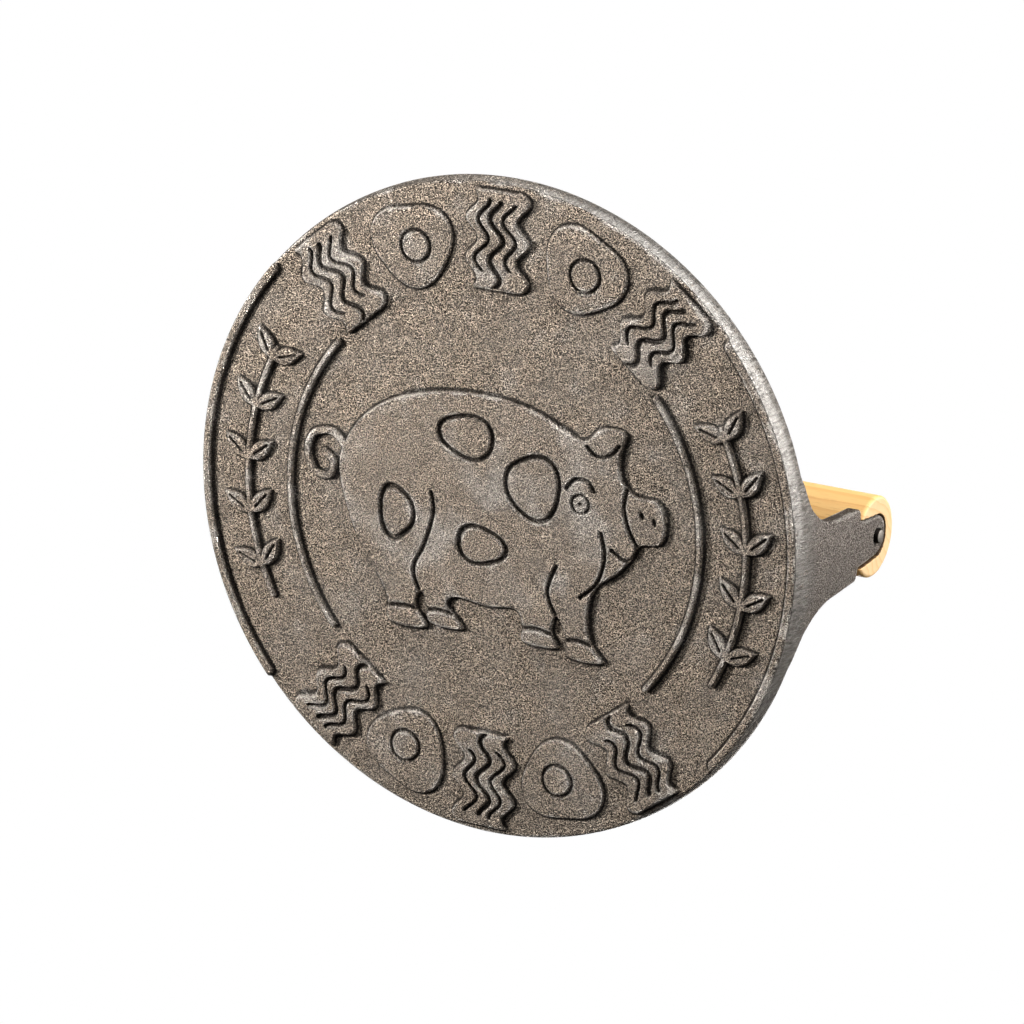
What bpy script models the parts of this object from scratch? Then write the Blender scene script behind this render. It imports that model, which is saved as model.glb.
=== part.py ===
"""Round cast iron press for bacon, with a wooden grip held between two cast lugs.

Metres, +Z up. The press lies on its pressing face: z = 0 is the flat top of the raised
ornament, the origin is at the middle of the disc, and the grip runs along X.
The ornament is laid out as it is read from below, x to the right and y upward, and
turned_under() puts it on the face. Lug outlines are drawn as (y, z) from the lug's middle.
"""
import math

import bmesh
import bpy
from mathutils import Matrix

# Driving dimensions
DISC_RADIUS = 0.1108
FACE_EDGE_RADIUS = 0.1102
PLATE_THICKNESS = 0.0075
EDGE_ROUND = 0.0010
RELIEF_HEIGHT = 0.0018

LUG_OUTER_X = 0.1106
LUG_THICKNESS = 0.0050
LUG_OFFSET_Y = 0.0032
LUG_FOOT_HALF_WIDTH = 0.0285
LUG_WAIST_HALF_WIDTH = 0.0132
LUG_WAIST_Z = 0.0320
LUG_TOP_HALF_WIDTH = 0.0124
FLARE_PULL_Z = 0.0160
SHOULDER_Z = 0.0478
SHOULDER_ROUND = 0.0020
EAR_BASE_HALF_WIDTH = 0.0078
EAR_TIP_HALF_WIDTH = 0.0068
EAR_TIP_ROUND = 0.0061
EAR_TIP_Z = 0.0661
FOOT_FILLET = 0.0050

GRIP_RADIUS = 0.0136
GRIP_AXIS_Z = 0.0588
GRIP_END_ROUND = 0.0010
ROD_RADIUS = 0.0025
ROD_AXIS_Z = 0.0605
ROD_PROUD = 0.0014
ROD_END_ROUND = 0.0006
CLEARANCE = 0.0003
SLOT_CLEARANCE = 0.0005

BORDER_HALF_ANGLE = math.radians(40.5)
INNER_BORDER_RADIUS = 0.0761
INNER_BORDER_WIDTH = 0.0023
OUTER_BORDER_RADIUS = 0.1085
OUTER_BORDER_WIDTH = 0.0028
EMBLEM_RADIUS = 0.0915
EMBLEMS_IN_A_ROW = 5
TOP_EMBLEM_PITCH = math.radians(20)
BOTTOM_EMBLEM_PITCH = math.radians(18.5)
SPRIG_RADIUS = 0.0925
SPRIG_HALF_SPAN = math.radians(28)
STEM_WIDTH = 0.0022
LEAF_PAIRS = 5
LEAF_PITCH = math.radians(11.5)
LOWEST_LEAVES = math.radians(-21)
LEAF_SPREAD = math.radians(50)
TAIL_CENTRE = (-0.0610, 0.0085)

# Derived sizes
PLATE_BACK_Z = RELIEF_HEIGHT + PLATE_THICKNESS
LUG_INNER_X = LUG_OUTER_X - LUG_THICKNESS
LUG_FOOT_Z = PLATE_BACK_Z - 0.0045
ROOT = 0.0010
LUG_LIMIT_Z = EAR_TIP_Z + 0.01
BORE_CUT_LENGTH = 2 * LUG_OUTER_X + 0.02
ROUND_STEPS = 96
GRIP_STEPS = 48
BORE_STEPS = 24
SHARP_ANGLE = math.radians(32)
MM = 0.001

IRON = ("cast_iron", (0.135, 0.108, 0.085, 1.0), 0.62, 0.85)
WOOD = ("pale_wood", (0.80, 0.52, 0.25, 1.0), 0.55, 0.0)
STEEL = ("steel_rod", (0.42, 0.41, 0.40, 1.0), 0.38, 1.0)


def clear_scene():
    for old in list(bpy.data.objects):
        bpy.data.objects.remove(old, do_unlink=True)


def new_collection(name):
    made = bpy.data.collections.new(name)
    bpy.context.scene.collection.children.link(made)
    return made


def material(spec):
    name, colour, roughness, metallic = spec
    made = bpy.data.materials.new(name)
    made.use_nodes = True
    shader = made.node_tree.nodes["Principled BSDF"]
    shader.inputs["Base Color"].default_value = colour
    shader.inputs["Roughness"].default_value = roughness
    shader.inputs["Metallic"].default_value = metallic
    made.diffuse_color = colour
    return made


def place(name, mesh, collection):
    made = bpy.data.objects.new(name, mesh)
    collection.objects.link(made)
    return made


def hide_as_cutter(obj):
    obj.hide_render = True
    obj.display_type = "WIRE"


def baked(obj, collection):
    """Replaces a curve or a modified object by its plain mesh, closed and facing out."""
    bpy.context.view_layer.update()
    evaluated = obj.evaluated_get(bpy.context.evaluated_depsgraph_get())
    mesh = bpy.data.meshes.new_from_object(evaluated)
    shape = bmesh.new()
    shape.from_mesh(mesh)
    bmesh.ops.remove_doubles(shape, verts=shape.verts, dist=0.000005)
    bmesh.ops.recalc_face_normals(shape, faces=shape.faces)
    shape.to_mesh(mesh)
    shape.free()
    name = obj.name
    matrix = obj.matrix_world.copy()
    bpy.data.objects.remove(obj)
    mesh.shade_smooth()
    mesh.set_sharp_from_angle(angle=SHARP_ANGLE)
    made = place(name, mesh, collection)
    made.matrix_world = matrix
    return made


def turned(name, profile, steps, collection):
    """A solid turned about Z from (radius, z) points that run top to bottom."""
    mesh = bpy.data.meshes.new(name)
    shape = bmesh.new()
    points = [shape.verts.new((r, 0, z)) for r, z in profile]
    for a, b in zip(points, points[1:]):
        shape.edges.new((a, b))
    shape.to_mesh(mesh)
    shape.free()
    obj = place(name, mesh, collection)
    screw = obj.modifiers.new("turn", "SCREW")
    screw.steps = steps
    screw.render_steps = steps
    screw.use_merge_vertices = True
    screw.merge_threshold = 0.00005
    return baked(obj, collection)


def slab(name, outline, thickness, matrix, collection, smooth=False):
    """A flat outline of (x, y) points given thickness along its own Z."""
    curve = bpy.data.curves.new(name, "CURVE")
    curve.dimensions = "2D"
    curve.fill_mode = "BOTH"
    curve.extrude = thickness / 2
    curve.resolution_u = 3
    spline = curve.splines.new("BEZIER" if smooth else "POLY")
    if smooth:
        spline.bezier_points.add(len(outline) - 1)
        for point, (x, y) in zip(spline.bezier_points, outline):
            point.co = (x, y, 0)
            point.handle_left_type = "AUTO"
            point.handle_right_type = "AUTO"
    else:
        spline.points.add(len(outline) - 1)
        for point, (x, y) in zip(spline.points, outline):
            point.co = (x, y, 0, 1)
    spline.use_cyclic_u = True
    obj = place(name, curve, collection)
    obj.matrix_world = matrix
    return baked(obj, collection)


def boolean(obj, operation, other):
    """Joins other to obj or cuts it away; other is an object or a whole collection."""
    step = obj.modifiers.new(operation.lower(), "BOOLEAN")
    step.operation = operation
    step.solver = "EXACT"
    if isinstance(other, bpy.types.Collection):
        step.operand_type = "COLLECTION"
        step.collection = other
    else:
        step.object = other


def even_shading(obj):
    """Lets the large flat faces that a Boolean leaves lead the shading."""
    normals = obj.modifiers.new("shading", "WEIGHTED_NORMAL")
    normals.keep_sharp = True
    normals.weight = 100


def arc(radius, start, end, steps, centre=(0, 0)):
    """Points on a circle from one angle to another, either way round."""
    angles = [start + (end - start) * i / steps for i in range(steps + 1)]
    return [(centre[0] + radius * math.cos(a), centre[1] + radius * math.sin(a)) for a in angles]


def quarter_round(centre, radius, start, steps=4):
    """Points round a quarter circle that is run clockwise from the angle start."""
    angles = [start - math.pi / 2 * i / steps for i in range(steps + 1)]
    return [(centre[0] + radius * math.cos(a), centre[1] + radius * math.sin(a)) for a in angles]


def bend(start, pull, end, steps):
    """Points on a curve from start to end that leans toward pull."""
    points = []
    for i in range(steps + 1):
        t = i / steps
        weights = ((1 - t) ** 2, 2 * t * (1 - t), t * t)
        points.append(tuple(sum(w * p[k] for w, p in zip(weights, (start, pull, end))) for k in (0, 1)))
    return points


def mirrored(half):
    """A half outline that starts and ends on the middle line, and its other half."""
    return half + [(-a, b) for a, b in half[-2:0:-1]]


# The raised ornament


def turned_under(x, y, turn):
    """The place on the pressing face, seen from below, of a shape with its own x and y."""
    middle_z = (RELIEF_HEIGHT + ROOT) / 2
    seen_from_below = Matrix.Translation((0, 0, middle_z)) @ Matrix.Rotation(math.pi, 4, "X")
    return seen_from_below @ Matrix.Translation((x, y, 0)) @ Matrix.Rotation(turn, 4, "Z")


def relief(name, outline, collection, x=0.0, y=0.0, turn=0.0, smooth=False):
    return slab(name, outline, RELIEF_HEIGHT + ROOT, turned_under(x, y, turn), collection, smooth)


def add_borders(collection):
    """Four arcs, an inner and an outer one round each end of the face."""
    for place_name, radius, width, steps in (
        ("inner", INNER_BORDER_RADIUS, INNER_BORDER_WIDTH, 18),
        ("outer", OUTER_BORDER_RADIUS, OUTER_BORDER_WIDTH, 24),
    ):
        outline = arc(radius + width / 2, -BORDER_HALF_ANGLE, BORDER_HALF_ANGLE, steps)
        outline += arc(radius - width / 2, BORDER_HALF_ANGLE, -BORDER_HALF_ANGLE, steps)
        for side, turn in (("right", 0.0), ("left", math.pi)):
            relief(f"{place_name}_border_{side}", outline, collection, turn=turn)


def rasher_outline(length=0.0330, width=0.0190, sway=0.0022, waves=2.5, steps=16):
    """A wavy strip, its two long edges one sine wave shifted across the width."""
    right = []
    left = []
    for i in range(steps + 1):
        t = i / steps
        shift = sway * math.sin(2 * math.pi * waves * t)
        right.append((shift + width / 2, length * (t - 0.5)))
        left.append((shift - width / 2, length * (t - 0.5)))
    return right + left[::-1]


def egg_outline(radius=0.0142, steps=28):
    """A fried egg: a round with soft lobes."""
    outline = []
    for i in range(steps):
        a = 2 * math.pi * i / steps
        r = radius * (1 + 0.09 * math.sin(3 * a + 0.5) + 0.05 * math.sin(2 * a + 2.0))
        outline.append((r * math.cos(a), r * math.sin(a)))
    return outline


def add_emblems(collection):
    """Rashers and fried eggs in turn, a row above the middle and a row below."""
    middle = (EMBLEMS_IN_A_ROW - 1) / 2
    for row, base, pitch in (
        ("top", math.pi / 2, TOP_EMBLEM_PITCH),
        ("bottom", -math.pi / 2, BOTTOM_EMBLEM_PITCH),
    ):
        for i in range(EMBLEMS_IN_A_ROW):
            angle = base - (i - middle) * pitch
            outline = egg_outline() if i % 2 else rasher_outline()
            x = EMBLEM_RADIUS * math.cos(angle)
            y = EMBLEM_RADIUS * math.sin(angle)
            relief(f"emblem_{row}_{i}", outline, collection, x, y, angle - math.pi / 2)


def leaf_outline(length=0.0105, width=0.0048, steps=6):
    """An almond with its root at the origin and its point along +X."""
    upper = []
    for i in range(1, steps):
        t = i / steps
        upper.append((length * t, width / 2 * math.sin(math.pi * t**0.85)))
    lower = [(x, -y) for x, y in upper]
    return [(0, 0)] + lower + [(length, 0)] + upper[::-1]


def add_sprigs(collection):
    """A leafy stem between the two borders at each end of the face."""
    stem = arc(SPRIG_RADIUS + STEM_WIDTH / 2, -SPRIG_HALF_SPAN, SPRIG_HALF_SPAN, 12)
    stem += arc(SPRIG_RADIUS - STEM_WIDTH / 2, SPRIG_HALF_SPAN, -SPRIG_HALF_SPAN, 12)
    for side, middle, up in (("right", 0.0, 1), ("left", math.pi, -1)):
        relief(f"stem_{side}", stem, collection, turn=middle)
        for i in range(LEAF_PAIRS):
            angle = middle + up * (LOWEST_LEAVES + LEAF_PITCH * i)
            x = SPRIG_RADIUS * math.cos(angle)
            y = SPRIG_RADIUS * math.sin(angle)
            for branch, spread in (("in", LEAF_SPREAD), ("out", -LEAF_SPREAD)):
                turn = angle + up * (math.pi / 2 + spread)
                relief(f"leaf_{side}_{i}_{branch}", leaf_outline(), collection, x, y, turn)


def pig_outline():
    """A standing pig with its snout toward +X, from the rump over the back, in millimetres."""
    back = [(-57, 4), (-55.5, 15), (-48, 26), (-36, 34), (-20, 38.5), (-3, 40), (14, 38), (27, 33)]
    ear = [(34, 31), (40, 36), (48.5, 35.5), (47, 27)]
    snout = [(48, 20), (53, 15.5), (61, 15), (64, 9), (62.5, 1), (55, -1), (52, -6), (47, -12)]
    fore_legs = [
        (39.5, -18), (37, -27), (38.5, -37), (43, -43), (30, -43), (29, -36), (25.5, -30),
        (24, -36), (26, -41), (13.5, -41), (13, -35), (10, -30.5),
    ]
    belly = [(0, -31.5), (-12, -30.5)]
    hind_legs = [
        (-15, -34), (-9, -41), (-21.5, -41), (-23, -34), (-25.5, -31), (-27, -36), (-23, -43),
        (-37, -43), (-38, -35), (-43, -26), (-51, -14),
    ]
    return back + ear + snout + fore_legs + belly + hind_legs


def add_pig(collection):
    """The pig in the middle of the face, and its curled tail."""
    outline = [(x * MM, y * MM) for x, y in pig_outline()]
    relief("pig_body", outline, collection, smooth=True)
    start = math.radians(-50)
    end = math.radians(210)
    tail = arc(0.0056, start, end, 14, centre=TAIL_CENTRE)
    tail += arc(0.0032, end, start, 14, centre=TAIL_CENTRE)
    relief("pig_tail", tail, collection)


# The lugs and what is held in them


def ear_top(room):
    """Half of the ear's rounded end, from its side to its tip, with room left round it."""
    centre = (EAR_TIP_HALF_WIDTH - EAR_TIP_ROUND, EAR_TIP_Z - EAR_TIP_ROUND)
    return arc(EAR_TIP_ROUND + room, math.radians(5), math.pi / 2, 6, centre=centre) + [(0, EAR_TIP_Z + room)]


def lug_outline():
    """A lug from its flared foot, past its shoulders, to the ear's tip."""
    half = [(0, LUG_FOOT_Z), (LUG_FOOT_HALF_WIDTH, LUG_FOOT_Z)]
    foot = (LUG_FOOT_HALF_WIDTH, PLATE_BACK_Z)
    waist = (LUG_WAIST_HALF_WIDTH, LUG_WAIST_Z)
    half += bend(foot, (LUG_WAIST_HALF_WIDTH, FLARE_PULL_Z), waist, 8)
    corner = (LUG_TOP_HALF_WIDTH - SHOULDER_ROUND, SHOULDER_Z - SHOULDER_ROUND)
    half += arc(SHOULDER_ROUND, 0, math.pi / 2, 4, centre=corner)
    half.append((EAR_BASE_HALF_WIDTH, SHOULDER_Z))
    return mirrored(half + ear_top(0))


def ear_slot_outline():
    """The lug's ear with room round it, open toward the plate."""
    wide = EAR_BASE_HALF_WIDTH + SLOT_CLEARANCE
    open_z = GRIP_AXIS_Z - GRIP_RADIUS - 0.003
    half = [(0, open_z), (wide, open_z), (wide, SHOULDER_Z)]
    return mirrored(half + ear_top(SLOT_CLEARANCE))


def across_x(x):
    """The place of an outline drawn in (y, z) that stands across X at x."""
    axes = Matrix(((0, 0, 1, 0), (1, 0, 0, 0), (0, 1, 0, 0), (0, 0, 0, 1)))
    return Matrix.Translation((x, LUG_OFFSET_Y, 0)) @ axes


def along_x(z):
    """The place of a solid turned about its own Z that lies along X at height z."""
    return Matrix.Translation((0, LUG_OFFSET_Y, z)) @ Matrix.Rotation(math.pi / 2, 4, "Y")


def add_lugs(collection, cutters):
    """The two lugs, curved outside like the rim, with a hollow fillet inside at the plate."""
    rim_curve = [(0, LUG_LIMIT_Z), (LUG_OUTER_X, LUG_LIMIT_Z), (LUG_OUTER_X, 0), (0, 0)]
    limit = turned("lug_limit", rim_curve, ROUND_STEPS, cutters)
    hide_as_cutter(limit)
    rim = (LUG_INNER_X + 0.001, PLATE_BACK_Z + FOOT_FILLET)
    corner = (LUG_INNER_X - FOOT_FILLET, PLATE_BACK_Z + FOOT_FILLET)
    fillet = [rim, (rim[0], LUG_FOOT_Z), (corner[0], LUG_FOOT_Z)]
    fillet += arc(FOOT_FILLET, -math.pi / 2, 0, 5, centre=corner)
    stand = Matrix(((1, 0, 0, 0), (0, 0, -1, LUG_OFFSET_Y), (0, 1, 0, 0), (0, 0, 0, 1)))
    flip = Matrix.Rotation(math.pi, 4, "Z")
    for side, sign in (("right", 1), ("left", -1)):
        lug = slab(f"lug_{side}", lug_outline(), 2 * LUG_THICKNESS, across_x(sign * LUG_OUTER_X), collection)
        boolean(lug, "INTERSECT", limit)
        turned_round = Matrix.Translation((0, 2 * LUG_OFFSET_Y, 0)) @ flip if sign < 0 else Matrix()
        width = 2 * LUG_WAIST_HALF_WIDTH
        slab(f"lug_fillet_{side}", fillet, width, turned_round @ stand, collection)


def rod_hole(name, collection):
    """A cutter for the rod's bore, long enough to pass right through."""
    shape = bmesh.new()
    bore = ROD_RADIUS + CLEARANCE
    bmesh.ops.create_cone(
        shape, cap_ends=True, segments=BORE_STEPS, radius1=bore, radius2=bore, depth=BORE_CUT_LENGTH
    )
    mesh = bpy.data.meshes.new(name)
    shape.to_mesh(mesh)
    shape.free()
    cutter = place(name, mesh, collection)
    cutter.matrix_world = along_x(ROD_AXIS_Z)
    hide_as_cutter(cutter)
    return cutter


# The three pieces


def make_casting(parts, cutters, joined):
    """The plate, its raised ornament and the two lugs, all one iron casting."""
    top = quarter_round((DISC_RADIUS - EDGE_ROUND, PLATE_BACK_Z - EDGE_ROUND), EDGE_ROUND, math.pi / 2)
    low = quarter_round((FACE_EDGE_RADIUS - EDGE_ROUND, RELIEF_HEIGHT + EDGE_ROUND), EDGE_ROUND, 0)
    profile = [(0, PLATE_BACK_Z)] + top + low + [(0, RELIEF_HEIGHT)]
    casting = turned("press_casting", profile, ROUND_STEPS, parts)
    add_lugs(joined, cutters)
    add_borders(joined)
    add_emblems(joined)
    add_sprigs(joined)
    add_pig(joined)
    for shape in joined.objects:
        hide_as_cutter(shape)
    boolean(casting, "UNION", joined)
    boolean(casting, "DIFFERENCE", rod_hole("lug_bores", cutters))
    even_shading(casting)
    casting.data.materials.append(material(IRON))


def dowel(name, radius, half_length, end_round, steps, parts):
    """A round bar about Z with softened ends."""
    rim = radius - end_round
    profile = [(0, half_length)]
    profile += quarter_round((rim, half_length - end_round), end_round, math.pi / 2)
    profile += quarter_round((rim, end_round - half_length), end_round, 0)
    profile.append((0, -half_length))
    return turned(name, profile, steps, parts)


def make_grip(parts, cutters):
    """A dowel with a slot in each end for a lug's ear, bored for the rod."""
    grip = dowel("handle_grip", GRIP_RADIUS, LUG_OUTER_X, GRIP_END_ROUND, GRIP_STEPS, parts)
    grip.matrix_world = along_x(GRIP_AXIS_Z)
    depth = LUG_THICKNESS + CLEARANCE
    overrun = 0.004
    for side, sign in (("right", 1), ("left", -1)):
        middle_x = sign * (LUG_OUTER_X + (overrun - depth) / 2)
        slot = slab(f"slot_{side}", ear_slot_outline(), depth + overrun, across_x(middle_x), cutters)
        hide_as_cutter(slot)
        boolean(grip, "DIFFERENCE", slot)
    boolean(grip, "DIFFERENCE", rod_hole("grip_bore", cutters))
    even_shading(grip)
    grip.data.materials.append(material(WOOD))


def make_rod(parts):
    """The steel rod through both lugs and the grip."""
    rod = dowel("handle_rod", ROD_RADIUS, LUG_OUTER_X + ROD_PROUD, ROD_END_ROUND, BORE_STEPS, parts)
    rod.matrix_world = along_x(ROD_AXIS_Z)
    rod.data.materials.append(material(STEEL))


def main():
    clear_scene()
    parts = new_collection("bacon_press")
    cutters = new_collection("bacon_press_cutters")
    joined = new_collection("bacon_press_joined_shapes")
    make_casting(parts, cutters, joined)
    make_grip(parts, cutters)
    make_rod(parts)


main()
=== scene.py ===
import math

import bpy
import numpy as np
from mathutils import Matrix, Vector


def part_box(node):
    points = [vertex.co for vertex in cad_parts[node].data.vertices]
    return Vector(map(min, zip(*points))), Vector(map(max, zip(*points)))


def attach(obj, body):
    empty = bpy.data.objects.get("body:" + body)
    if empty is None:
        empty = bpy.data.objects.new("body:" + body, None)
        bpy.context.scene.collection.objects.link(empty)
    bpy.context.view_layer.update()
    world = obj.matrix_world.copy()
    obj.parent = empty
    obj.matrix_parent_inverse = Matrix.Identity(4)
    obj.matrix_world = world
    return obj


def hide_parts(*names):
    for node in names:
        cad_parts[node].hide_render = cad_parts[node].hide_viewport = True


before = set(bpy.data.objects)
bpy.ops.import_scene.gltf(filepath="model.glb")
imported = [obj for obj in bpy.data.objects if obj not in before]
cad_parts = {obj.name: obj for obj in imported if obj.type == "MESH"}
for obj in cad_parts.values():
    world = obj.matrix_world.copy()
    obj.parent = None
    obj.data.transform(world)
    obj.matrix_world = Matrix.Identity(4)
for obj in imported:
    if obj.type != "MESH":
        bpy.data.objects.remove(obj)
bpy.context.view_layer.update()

MM = 0.001

# Sizes that come from the frame
casting_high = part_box("press_casting")[1]
grip_low, grip_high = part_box("handle_grip")
rod_low, rod_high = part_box("handle_rod")
DISC_RADIUS = casting_high.x
EAR_TIP_Z = casting_high.z
MIDDLE_Y = (grip_low.y + grip_high.y) / 2
GRIP_RADIUS = (grip_high.z - grip_low.z) / 2
GRIP_AXIS_Z = (grip_high.z + grip_low.z) / 2
GRIP_HALF_LENGTH = grip_high.x
ROD_RADIUS = (rod_high.z - rod_low.z) / 2
ROD_AXIS_Z = (rod_high.z + rod_low.z) / 2
ROD_HALF_LENGTH = rod_high.x

# The plate
RELIEF_HEIGHT = 1.8 * MM
PLATE_BACK_Z = 9.3 * MM
FACE_EDGE_RADIUS = DISC_RADIUS - 0.6 * MM
EDGE_ROUND = 1.0 * MM
SHEET_RADIUS = FACE_EDGE_RADIUS - 0.2 * MM
SHEET_CELLS = 600
SEAM_Z = 4.0 * MM
RIM_WIDEST_Z = 7.0 * MM
RIM_RING_HEIGHTS = (3.3 * MM, 3.8 * MM)
HAIR = 0.02 * MM

# The lugs, drawn as (y, z) from the middle line
LUG_OUTER_X = GRIP_HALF_LENGTH
LUG_THICKNESS = 5.0 * MM
LUG_INNER_X = LUG_OUTER_X - LUG_THICKNESS
LUG_FOOT = (28.5 * MM, PLATE_BACK_Z)
LUG_FLARE = (13.2 * MM, 16.0 * MM)
LUG_WAIST = (13.2 * MM, 32.0 * MM)
LUG_SHOULDER = (12.4 * MM, 47.8 * MM)
SHOULDER_ROUND = 1.5 * MM
EAR_BASE_HALF_WIDTH = 7.8 * MM
EAR_TIP_HALF_WIDTH = 6.8 * MM
EAR_TIP_ROUND = 6.1 * MM
EAR_SIDE_LEAN = math.radians(5)
FOOT_FILLET = 5.0 * MM
LUG_EDGE_ROUND = 0.7 * MM
HOLE_RADIUS = ROD_RADIUS + 0.15 * MM
HOLE_DROP = 0.1 * MM

# The grip
GRIP_END_ROUND = 1.3 * MM
SLOT_DEPTH = LUG_THICKNESS + 0.3 * MM
SLOT_ROOM = 0.5 * MM
BORE_ROOM = 0.3 * MM
WOOD_UNEVENNESS = 0.05 * MM
PITH_PLACE = (31 * MM, -24 * MM)
RING_PITCH = 2.9 * MM


# Fields and outlines


def round_max(a, b, radius):
    """The larger of two fields, with the outer edge where they meet rounded."""
    corner = np.hypot(np.maximum(a + radius, 0), np.maximum(b + radius, 0))
    return np.minimum(np.maximum(a, b), -radius) + corner


def round_min(a, b, radius):
    """The smaller of two fields, with a fillet where they meet."""
    return -round_max(-a, -b, radius)


def smooth(value, low, high):
    """0 below low, 1 above high, and an S curve between."""
    t = np.clip((value - low) / (high - low), 0, 1)
    return t * t * (3 - 2 * t)


def unevenness(points, size, seed):
    """Smooth noise from -1 to 1 over (n, 3) points, with lumps about size across."""
    cells = 64
    table = np.random.default_rng(seed).uniform(-1, 1, (cells, cells, cells))
    place = points / size
    base = np.floor(place).astype(int)
    t = place - base
    t = t * t * (3 - 2 * t)
    total = np.zeros(len(points))
    for corner in np.ndindex(2, 2, 2):
        index = (base + corner) % cells
        weight = np.prod(np.where(corner, t, 1 - t), axis=1)
        total += weight * table[index[:, 0], index[:, 1], index[:, 2]]
    return total


def arc(radius, start, end, steps, centre=(0, 0)):
    """Points on a circle from one angle to another, either way round."""
    angles = [start + (end - start) * i / steps for i in range(steps + 1)]
    return [(centre[0] + radius * math.cos(a), centre[1] + radius * math.sin(a)) for a in angles]


def bend(start, pull, end, steps):
    """Points on a curve from start to end that leans toward pull."""
    points = []
    for i in range(steps + 1):
        t = i / steps
        weights = ((1 - t) ** 2, 2 * t * (1 - t), t * t)
        parts = list(zip(weights, (start, pull, end)))
        points.append(tuple(sum(w * p[k] for w, p in parts) for k in (0, 1)))
    return points


def flowing(points, closed=False, steps=6):
    """A smooth line through points, with steps pieces from each to the next."""
    count = len(points)
    line = []
    for i in range(count if closed else count - 1):
        around = [i - 1, i, i + 1, i + 2]
        picked = [k % count if closed else min(max(k, 0), count - 1) for k in around]
        a, b, c, d = (np.array(points[k], float) for k in picked)
        for step in range(steps):
            t = step / steps
            square = 2 * a - 5 * b + 4 * c - d
            cube = 3 * b - a - 3 * c + d
            line.append((2 * b + (c - a) * t + square * t**2 + cube * t**3) / 2)
    if not closed:
        line.append(np.array(points[-1], float))
    return [tuple(p) for p in line]


def line_distance(u, v, line, closed=False):
    """Distance from places (u, v) to a line of points."""
    nearest = np.full(np.broadcast(u, v).shape, np.inf)
    ends = line[1:] + line[:1] if closed else line[1:]
    for (au, av), (bu, bv) in zip(line, ends):
        du = bu - au
        dv = bv - av
        t = np.clip(((u - au) * du + (v - av) * dv) / (du * du + dv * dv + 1e-18), 0, 1)
        nearest = np.minimum(nearest, (u - au - t * du) ** 2 + (v - av - t * dv) ** 2)
    return np.sqrt(nearest)


def outline_distance(u, v, outline):
    """Signed distance to a closed outline, negative inside."""
    inside = np.zeros(np.broadcast(u, v).shape, bool)
    for (au, av), (bu, bv) in zip(outline, outline[1:] + outline[:1]):
        if av != bv:
            crosses = (av > v) != (bv > v)
            inside ^= crosses & (u < au + (v - av) * (bu - au) / (bv - av))
    return np.where(inside, -1, 1) * line_distance(u, v, outline, closed=True)


def mirrored(half):
    """A half outline that starts and ends on the middle line, and its other half."""
    return half + [(-a, b) for a, b in half[-2:0:-1]]


# Skins round fields


def skin(field, axes):
    """Points and quads where a field on a lattice crosses zero, one point in each crossed cell."""
    cells = np.array(field.shape) - 1
    owners = []
    places = []
    quads = []
    for k in range(3):
        near = field.take(range(cells[k]), axis=k)
        far = field.take(range(1, cells[k] + 1), axis=k)
        at = np.array(np.nonzero((near < 0) != (far < 0)))
        a = near[tuple(at)]
        t = a / (a - far[tuple(at)])
        place = np.stack([axes[m][at[m]] for m in range(3)], axis=1)
        place[:, k] += t * (axes[k][at[k] + 1] - axes[k][at[k]])
        sides = ((k + 1) % 3, (k + 2) % 3)
        ring = []
        whole = np.ones(len(a), bool)
        for shift in ((-1, -1), (0, -1), (0, 0), (-1, 0)):
            cell = at.copy()
            for m, step in zip(sides, shift):
                cell[m] += step
            valid = np.all((cell >= 0) & (cell < cells[:, None]), axis=0)
            whole &= valid
            number = np.ravel_multi_index(np.where(valid, cell, 0), cells)
            owners.append(number[valid])
            places.append(place[valid])
            ring.append(number)
        ring = np.stack(ring, axis=1)
        ring[a > 0] = ring[a > 0][:, ::-1]
        quads.append(ring[whole])
    owner, index = np.unique(np.concatenate(owners), return_inverse=True)
    places = np.concatenate(places)
    count = np.bincount(index)
    points = np.stack([np.bincount(index, places[:, m]) / count for m in range(3)], axis=1)
    return points, np.searchsorted(owner, np.concatenate(quads))


def slope(field, points, step=0.05 * MM):
    """The field's value and gradient at points."""
    gradient = np.zeros_like(points)
    for k in range(3):
        ahead = points.copy()
        behind = points.copy()
        ahead[:, k] += step
        behind[:, k] -= step
        gradient[:, k] = (field(*ahead.T) - field(*behind.T)) / (2 * step)
    return field(*points.T), gradient


def settle(field, points, rounds=3):
    """Moves points onto the field's surface, and gives the outward directions there."""
    for _ in range(rounds):
        value, gradient = slope(field, points)
        length = np.maximum(np.sum(gradient**2, axis=1), 0.1)
        points = points - gradient * np.clip(value, -MM, MM)[:, None] / length[:, None]
    gradient = slope(field, points)[1]
    return points, gradient / np.linalg.norm(gradient, axis=1)[:, None]


def exposure(field, points, normals, depth):
    """How far each point stands on an outer edge (above 0) or in an inner corner (below 0)."""
    outside = field(*(points + normals * depth).T) / depth
    inside = -field(*(points - normals * depth).T) / depth
    return outside - inside


def lattice(*runs):
    """Values from (start, end, cell) runs that follow each other."""
    values = [np.linspace(a, b, max(2, round((b - a) / cell) + 1))[:-1] for a, b, cell in runs]
    return np.append(np.concatenate(values), runs[-1][1])


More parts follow.
